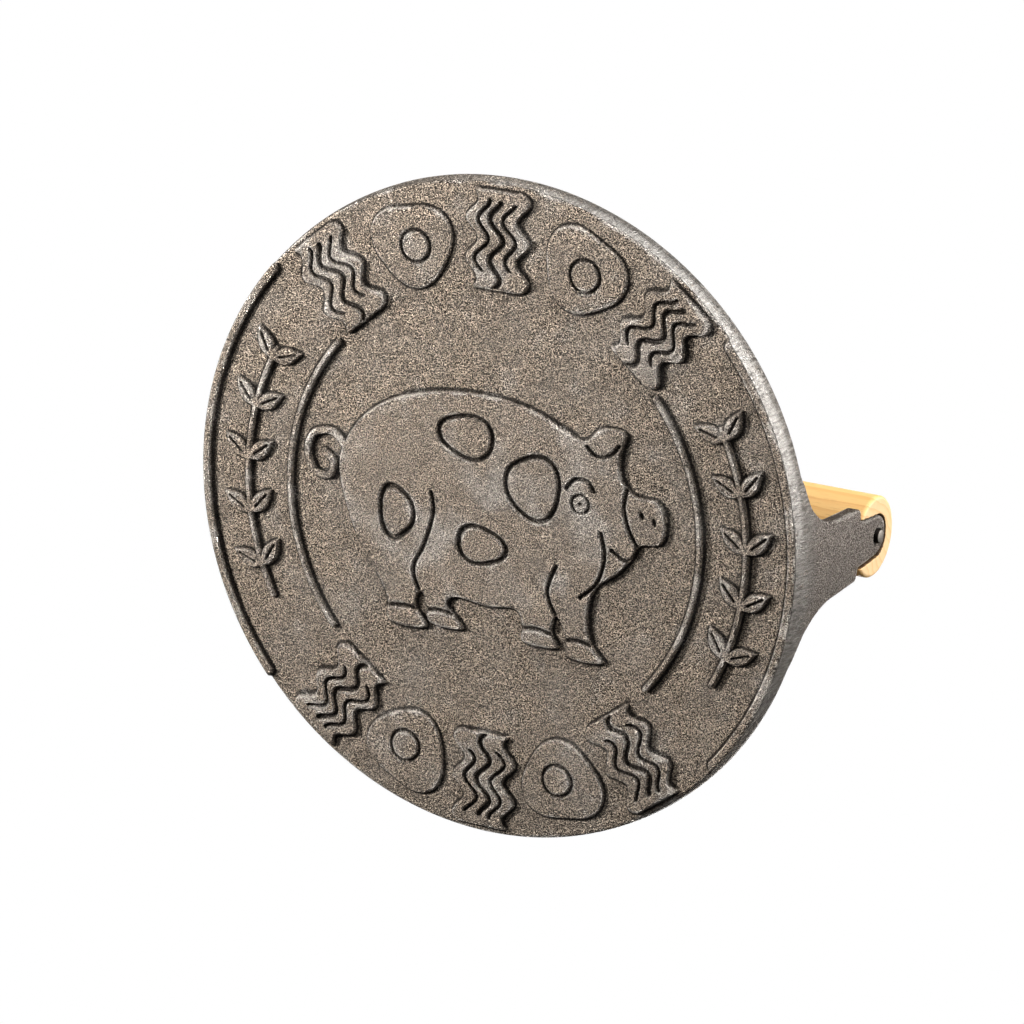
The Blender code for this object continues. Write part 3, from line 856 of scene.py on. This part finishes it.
class Shades:
    """A material's node tree, built call by call."""

    def __init__(self, name):
        self.material = bpy.data.materials.new(name)
        self.material.use_nodes = True
        self.tree = self.material.node_tree
        self.shader = self.tree.nodes["Principled BSDF"]
        self.place = self.node("TexCoord").outputs["Object"]

    def node(self, kind, inputs=(), **settings):
        """A new node with its settings, and its inputs joined or given values."""
        made = self.tree.nodes.new("ShaderNode" + kind)
        for key, value in settings.items():
            setattr(made, key, value)
        for key, value in dict(inputs).items():
            self.set(made.inputs[key], value)
        return made

    def set(self, socket, value):
        """Joins an input to another node's output, or gives it a value."""
        if isinstance(value, bpy.types.NodeSocket):
            self.tree.links.new(value, socket)
        else:
            socket.default_value = value

    def math(self, operation, *values):
        """A value worked out from others."""
        return self.node("Math", dict(enumerate(values)), operation=operation).outputs[0]

    def spread(self, value, low, high, out_low=0.0, out_high=1.0):
        """A value taken from one range to another, held at its ends."""
        ranges = {"From Min": low, "From Max": high, "To Min": out_low, "To Max": out_high}
        return self.node("MapRange", {"Value": value, **ranges}, clamp=True).outputs["Result"]

    def noise(self, size, detail=3.0, roughness=0.6, place=None, distortion=0.0):
        """Noise with lumps about size metres across."""
        inputs = {"Vector": place or self.place, "Scale": 1 / size, "Detail": detail}
        inputs.update({"Roughness": roughness, "Distortion": distortion})
        return self.node("TexNoise", inputs).outputs["Fac"]

    def stretched(self, x, y, z):
        """Places with each axis scaled, which draws a texture out along the small ones."""
        return self.node("Mapping", {"Vector": self.place, "Scale": (x, y, z)}).outputs["Vector"]

    def value(self, name):
        """A value stored at the mesh's points."""
        return self.node("Attribute", attribute_name=name).outputs["Fac"]

    def mix(self, share, a, b):
        """Two colours mixed."""
        made = self.node("Mix", data_type="RGBA")
        for index, value in ((0, share), (6, a), (7, b)):
            self.set(made.inputs[index], value)
        return made.outputs[2]

    def bump(self, height, distance, normal=None):
        """Normals tilted by a height, over those of another bump where one is given."""
        inputs = {"Height": height, "Distance": distance, "Strength": 1.0}
        if normal is not None:
            inputs["Normal"] = normal
        return self.node("Bump", inputs).outputs["Normal"]

    def finish(self, **values):
        """The material, with its shader's inputs joined or given values."""
        for key, value in values.items():
            self.set(self.shader.inputs[key.replace("_", " ")], value)
        return self.material


def rgb(red, green, blue):
    """An opaque colour."""
    return (red, green, blue, 1.0)


IRON_PITS = rgb(0.016, 0.011, 0.008)
IRON_CRESTS = rgb(0.71, 0.585, 0.465)
IRON_RAISED = rgb(0.52, 0.44, 0.38)
IRON_CLOUDS = rgb(0.27, 0.245, 0.22)
IRON_BLOTCHES = rgb(0.12, 0.083, 0.055)
# Painted sheen on steep walls.
IRON_WALL_SHEEN = rgb(0.62, 0.57, 0.53)
# Painted shade in inner corners.
IRON_CORNER_SHADE = rgb(0.012, 0.009, 0.007)
IRON_SILVER = rgb(0.70, 0.66, 0.62)
# Rubbed metal, also used as a painted highlight along edges.
IRON_WORN_AND_HIGHLIGHT = rgb(0.72, 0.67, 0.62)
LUG_PITS = rgb(0.115, 0.095, 0.082)
LUG_CRESTS = rgb(0.56, 0.495, 0.445)
# Painted shade on the lugs' narrow sides.
LUG_SIDE_SHADE = rgb(0.060, 0.048, 0.040)
GROUND_DARK = rgb(0.125, 0.112, 0.100)
GROUND_LIGHT = rgb(0.40, 0.375, 0.35)
# A lit copy of the ground metal, for a painted highlight on the rim.
RIM_SHEEN_DARK = rgb(0.30, 0.28, 0.26)
RIM_SHEEN_LIGHT = rgb(0.78, 0.75, 0.72)
WOOD_EARLY = rgb(0.90, 0.55, 0.20)
WOOD_LATE = rgb(0.74, 0.37, 0.10)
WOOD_FIBRES = rgb(0.95, 0.63, 0.28)
WOOD_PORES = rgb(0.45, 0.22, 0.07)
WOOD_END_EARLY = rgb(0.93, 0.66, 0.38)
WOOD_END_LATE = rgb(0.86, 0.55, 0.27)
# Painted shade on the wood round the slots.
WOOD_SLOT_SHADE = rgb(0.045, 0.018, 0.006)
STEEL_DARK = rgb(0.24, 0.215, 0.19)
STEEL_LIGHT = rgb(0.44, 0.41, 0.375)
STEEL_SPOTS = rgb(0.10, 0.085, 0.07)
# Painted shade on the rod's sides.
STEEL_SIDE_SHADE = rgb(0.012, 0.010, 0.009)
FLOOR_GREY = rgb(0.86, 0.86, 0.86)
FLOOR_PALE = rgb(0.90, 0.90, 0.90)
WHITE = rgb(1.0, 1.0, 1.0)


def iron_material():
    """Sand cast iron: grainy brown-grey, silvery where rubbed, ground rim; with painted shade in
    corners and on the lugs' sides, and painted highlights on edges, walls and the rim's lit side.
    """
    s = Shades("cast_iron_looks")
    sand = s.noise(0.45 * MM, 1.0, 0.6)
    grit = s.noise(0.40 * MM, 1.0, 0.6)
    cloud = s.noise(17 * MM, 4.0, 0.6)
    blotch = s.noise(3.5 * MM, 3.0, 0.6)
    both = s.math("ADD", s.math("MULTIPLY", sand, 0.6), s.math("MULTIPLY", grit, 0.4))
    grain = s.spread(both, 0.45, 0.55)
    cast = s.mix(grain, IRON_PITS, IRON_CRESTS)
    cast = s.mix(s.spread(s.value("top"), 0.6, 1.0, 0.0, 0.12), cast, IRON_RAISED)
    cast = s.mix(s.spread(cloud, 0.4, 0.66, 0.0, 0.35), cast, IRON_CLOUDS)
    cast = s.mix(s.spread(blotch, 0.55, 0.75, 0.0, 0.25), cast, IRON_BLOTCHES)
    up = s.node("SeparateXYZ", {"Vector": s.place}).outputs["Z"]
    lug = s.spread(up, PLATE_BACK_Z - MM, PLATE_BACK_Z + 4 * MM)
    grey = s.mix(grain, LUG_PITS, LUG_CRESTS)
    cast = s.mix(lug, cast, grey)
    # Painted shade: the lugs' narrow sides much darker.
    cast = s.mix(s.spread(s.value("side"), 0.0, 1.0, 0.0, 0.7), cast, LUG_SIDE_SHADE)
    # Painted sheen: steep walls lighter.
    wall = s.spread(s.value("wall"), 0.0, 1.0, 0.0, 0.2)
    cast = s.mix(wall, cast, IRON_WALL_SHEEN)
    # Painted shade: inner corners near black.
    corner_shade = s.spread(s.value("corner_shade"), 0.24, 0.75, 0.0, 0.92)
    cast = s.mix(corner_shade, cast, IRON_CORNER_SHADE)
    # Rubbed edges and patches, partly a painted highlight along edges.
    rubbed_and_highlight = s.math("ADD", s.value("wear"), s.spread(grain, 0.0, 1.0, -0.3, 0.3))
    rubbed_and_highlight = s.math("ADD", rubbed_and_highlight, s.spread(s.noise(12 * MM, 2.0, 0.6), 0.36, 0.64, -0.85, 0.3))
    rubbed_and_highlight = s.spread(rubbed_and_highlight, 0.35, 1.05, 0.0, 0.85)
    silver = s.spread(s.noise(24 * MM, 2.0, 0.5), 0.50, 0.66, 0.0, 0.5)
    silver = s.math("MULTIPLY", silver, s.spread(s.value("top"), 0.7, 1.0, 0.25, 1.0))
    silver = s.math("MULTIPLY", silver, s.spread(grain, 0.0, 1.0, 0.45, 1.0))
    silver = s.math("MULTIPLY", silver, s.spread(lug, 0.0, 1.0, 1.0, 0.3))
    cast = s.mix(silver, cast, IRON_SILVER)
    worn_and_highlit = s.mix(rubbed_and_highlight, cast, IRON_WORN_AND_HIGHLIGHT)
    marks = s.noise(0.8 * MM, 4.0, 0.75, place=s.stretched(1.0, 1.0, 0.15))
    patchy = s.spread(s.noise(2.2 * MM, 4.0, 0.7), 0.28, 0.42)
    ground = s.math("MULTIPLY", s.value("ground"), patchy)
    scored = s.spread(marks, 0.35, 0.65)
    bright = s.mix(scored, GROUND_DARK, GROUND_LIGHT)
    # A lit copy of the ground metal, painted on the rim's side that faces the light.
    rim_sheen_colour = s.mix(scored, RIM_SHEEN_DARK, RIM_SHEEN_LIGHT)
    bright = s.mix(s.value("rim_sheen"), bright, rim_sheen_colour)
    colour = s.mix(ground, worn_and_highlit, bright)
    rough = s.spread(grain, 0.0, 1.0, 0.58, 0.40)
    bare = s.math("MAXIMUM", s.math("MAXIMUM", rubbed_and_highlight, ground), wall)
    rough = s.spread(bare, 0.0, 1.0, rough, 0.36)
    metal = s.spread(bare, 0.0, 1.0, 0.7, 0.95)
    calm = s.spread(s.value("ground"), 0.0, 1.0, 1.0, 0.25)
    normal = s.bump(s.math("MULTIPLY", sand, calm), 2.5 * MM)
    normal = s.bump(s.math("MULTIPLY", grit, calm), 1.2 * MM, normal)
    normal = s.bump(s.math("MULTIPLY", marks, s.value("ground")), 0.05 * MM, normal)
    return s.finish(Base_Color=colour, Roughness=rough, Metallic=metal, Normal=normal)


def wood_material():
    """Pale wood, its rings round a pith well outside the dowel, so its ends show arcs."""
    s = Shades("grip_wood_looks")
    fibre = s.noise(0.5 * MM, 4.0, 0.7, place=s.stretched(0.03, 1.0, 1.0))
    wander = s.noise(9 * MM, 2.0, 0.5, place=s.stretched(0.12, 1.0, 1.0))
    split = s.node("SeparateXYZ", {"Vector": s.place})
    across = s.math("SUBTRACT", split.outputs["Y"], MIDDLE_Y + PITH_PLACE[0])
    down = s.math("SUBTRACT", split.outputs["Z"], GRIP_AXIS_Z + PITH_PLACE[1])
    squares = s.math("ADD", s.math("MULTIPLY", across, across), s.math("MULTIPLY", down, down))
    far = s.math("SQRT", squares)
    far = s.math("ADD", far, s.math("MULTIPLY", wander, 5 * MM))
    ring = s.math("FRACT", s.math("DIVIDE", far, RING_PITCH))
    late = s.math("POWER", ring, 3.0)
    colour = s.mix(late, WOOD_EARLY, WOOD_LATE)
    colour = s.mix(s.spread(fibre, 0.35, 0.7, 0.0, 0.45), colour, WOOD_FIBRES)
    pores = s.noise(0.32 * MM, 2.0, 0.5, place=s.stretched(0.05, 1.0, 1.0))
    colour = s.mix(s.spread(pores, 0.62, 0.72, 0.0, 0.5), colour, WOOD_PORES)
    pale = s.mix(late, WOOD_END_EARLY, WOOD_END_LATE)
    colour = s.mix(s.spread(s.value("end"), 0.4, 0.9, 0.0, 0.8), colour, pale)
    # Painted shade, near black, round the slots, with a ragged edge.
    ragged = s.math("ADD", s.value("slot_shade"), s.spread(fibre, 0.3, 0.7, -0.25, 0.25))
    colour = s.mix(s.spread(ragged, 0.5, 0.9, 0.0, 0.95), colour, WOOD_SLOT_SHADE)
    normal = s.bump(fibre, 0.10 * MM)
    normal = s.bump(pores, 0.05 * MM, normal)
    rough = s.spread(fibre, 0.3, 0.7, 0.55, 0.70)
    return s.finish(Base_Color=colour, Roughness=rough, Normal=normal)


def steel_material():
    """Drawn steel: its sides painted near black as shade, dull grey with dark spots on its cut
    ends.
    """
    s = Shades("rod_steel_looks")
    lines = s.noise(0.25 * MM, 3.0, 0.6, place=s.stretched(0.05, 1.0, 1.0))
    spots = s.noise(0.9 * MM, 3.0, 0.6)
    colour = s.mix(s.spread(lines, 0.35, 0.65), STEEL_DARK, STEEL_LIGHT)
    colour = s.mix(s.spread(spots, 0.55, 0.7, 0.0, 0.6), colour, STEEL_SPOTS)
    # Painted shade: the rod's sides near black.
    colour = s.mix(s.spread(s.value("cut"), 0.4, 1.0), STEEL_SIDE_SHADE, colour)
    rough = s.spread(spots, 0.35, 0.7, 0.50, 0.65)
    normal = s.bump(lines, 0.03 * MM)
    return s.finish(Base_Color=colour, Roughness=rough, Metallic=1.0, Normal=normal)


# Floor, light and camera


CAMERA_PLACE = Vector((0.7503, -0.4912, -1.3482))
CAMERA_AIM = Vector((0.0075, -0.0020, RELIEF_HEIGHT))
CAMERA_UP = Vector((-0.1697, -0.9528, 0.2519))
CAMERA_LENS = 175.8
LAMPS = (
    # name, direction from the object, distance, size, power, colour
    ("key", (-0.83, -0.21, -0.50), 0.75, 0.09, 9.9, (1.0, 0.97, 0.93)),
    ("high", (-0.22, -0.70, -0.68), 0.48, 0.20, 0.5, (1.0, 0.98, 0.95)),
    ("front", (-0.08, -0.40, -0.90), 1.1, 0.35, 0.5, (1.0, 0.99, 0.98)),
    ("right", (0.30, -0.95, -0.09), 1.0, 0.50, 9.8, (1.0, 0.99, 0.97)),
    ("side", (0.82, -0.30, 0.48), 1.0, 0.50, 10.5, (1.0, 0.98, 0.95)),
    ("above", (-0.35, 0.35, 0.87), 1.1, 0.60, 11.5, (1.0, 0.99, 0.98)),
)
ROOM_STRENGTH = 0.10
FLOOR_HALF_WIDTH = 4.0
FLOOR_PLAIN_REACH = 0.25
FLOOR_WHITE_REACH = 0.9


def make_floor():
    """A pale floor, whiter far off, seen only from above so that the face shows from below."""
    half = FLOOR_HALF_WIDTH
    points = np.array([(-half, -half, 0), (half, -half, 0), (half, half, 0), (-half, half, 0)])
    floor = mesh_object("floor", points, [np.array([[0, 1, 2, 3]])])
    s = Shades("floor_looks")
    tint = s.mix(s.noise(0.4), FLOOR_GREY, FLOOR_PALE)
    far = s.node("VectorMath", {0: s.place}, operation="LENGTH").outputs["Value"]
    glow = s.spread(far, FLOOR_PLAIN_REACH, FLOOR_WHITE_REACH)
    s.finish(Base_Color=tint, Roughness=0.7, Emission_Color=WHITE, Emission_Strength=glow)
    clear = s.node("BsdfTransparent").outputs[0]
    behind = s.node("NewGeometry").outputs["Backfacing"]
    chosen = s.node("MixShader", {0: behind, 1: s.shader.outputs[0], 2: clear}).outputs[0]
    s.tree.links.new(chosen, s.tree.nodes["Material Output"].inputs["Surface"])
    floor.data.materials.append(s.material)
    for ray in ("diffuse", "glossy", "transmission", "shadow"):
        setattr(floor, "visible_" + ray, False)


def make_world():
    """A dim even light from all round, in front of a white background."""
    world = bpy.data.worlds.new("studio")
    bpy.context.scene.world = world
    world.use_nodes = True
    nodes = world.node_tree.nodes
    links = world.node_tree.links
    room = nodes["Background"]
    room.inputs["Color"].default_value = WHITE
    room.inputs["Strength"].default_value = ROOM_STRENGTH
    seen = nodes.new("ShaderNodeBackground")
    seen.inputs["Color"].default_value = WHITE
    path = nodes.new("ShaderNodeLightPath")
    mix = nodes.new("ShaderNodeMixShader")
    links.new(path.outputs["Is Camera Ray"], mix.inputs[0])
    links.new(room.outputs[0], mix.inputs[1])
    links.new(seen.outputs[0], mix.inputs[2])
    links.new(mix.outputs[0], nodes["World Output"].inputs["Surface"])
    bpy.context.scene.view_settings.view_transform = "Standard"


def facing(place, aim, up=Vector((0, 0, 1))):
    """A matrix that puts a camera or lamp at place and turns it to aim."""
    back = (place - aim).normalized()
    right = up.cross(back).normalized()
    turn = Matrix((right, back.cross(right), back)).transposed()
    return Matrix.Translation(place) @ turn.to_4x4()


def make_lamps():
    """The lamps, each aimed at the middle of the press."""
    for name, direction, distance, size, power, colour in LAMPS:
        light = bpy.data.lights.new(name, "AREA")
        light.size = size
        light.energy = power
        light.color = colour
        lamp = bpy.data.objects.new(name, light)
        bpy.context.scene.collection.objects.link(lamp)
        lamp.matrix_world = facing(Vector(direction).normalized() * distance, Vector((0, 0, 0.02)))


def make_camera():
    """The camera at the photograph's angle."""
    data = bpy.data.cameras.new("camera")
    data.lens = CAMERA_LENS
    data.sensor_width = 36
    data.clip_start = 0.1
    data.clip_end = 10
    camera = bpy.data.objects.new("camera", data)
    bpy.context.scene.collection.objects.link(camera)
    camera.matrix_world = facing(CAMERA_PLACE, CAMERA_AIM, CAMERA_UP)
    bpy.context.scene.camera = camera


casting = make_casting()
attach(casting, "root")
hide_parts("press_casting")
grip = make_grip()
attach(grip, "root")
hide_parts("handle_grip")
rod = make_rod()
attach(rod, "root")
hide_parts("handle_rod")
make_floor()
make_world()
make_lamps()
make_camera()
